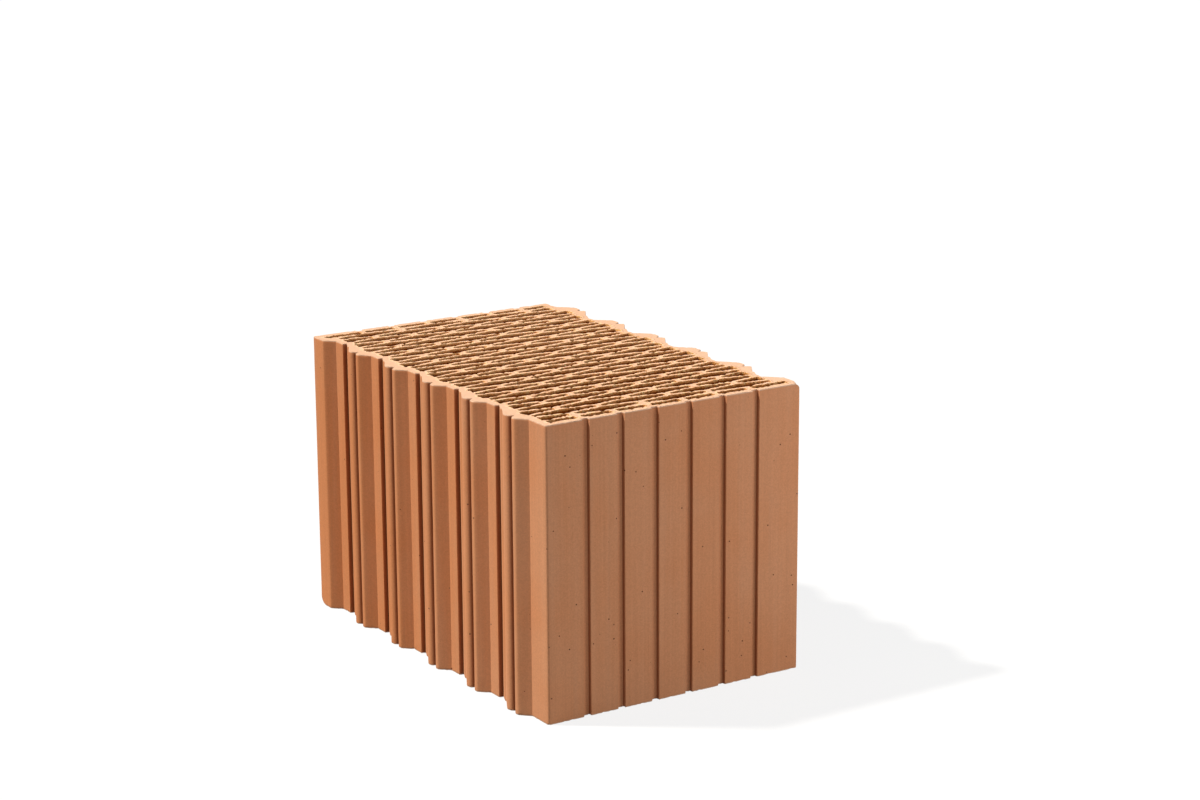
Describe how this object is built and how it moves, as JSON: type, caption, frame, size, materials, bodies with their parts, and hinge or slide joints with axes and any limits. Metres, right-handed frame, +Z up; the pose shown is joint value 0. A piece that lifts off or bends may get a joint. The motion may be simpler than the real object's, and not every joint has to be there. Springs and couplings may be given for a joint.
{
  "type": "hollow clay block",
  "caption": "Fired clay wall block with vertical lozenge perforations, tongue-and-groove head faces and grooved plaster faces, laid on edge-ground beds.",
  "frame": {"origin": "middle of the bottom bed face's bounding rectangle", "axes": "+Z up along the perforations, +Y through the wall from the outer plaster face to the inner one, +X along the wall from the tongue side to the ridge side"},
  "size_m": [0.2566, 0.38, 0.249],
  "materials": {
    "fired_clay": "matt unglazed fired clay"
  },
  "bodies": {
    "root": {"clay_block": "fired_clay"}
  },
  "joints": []
}
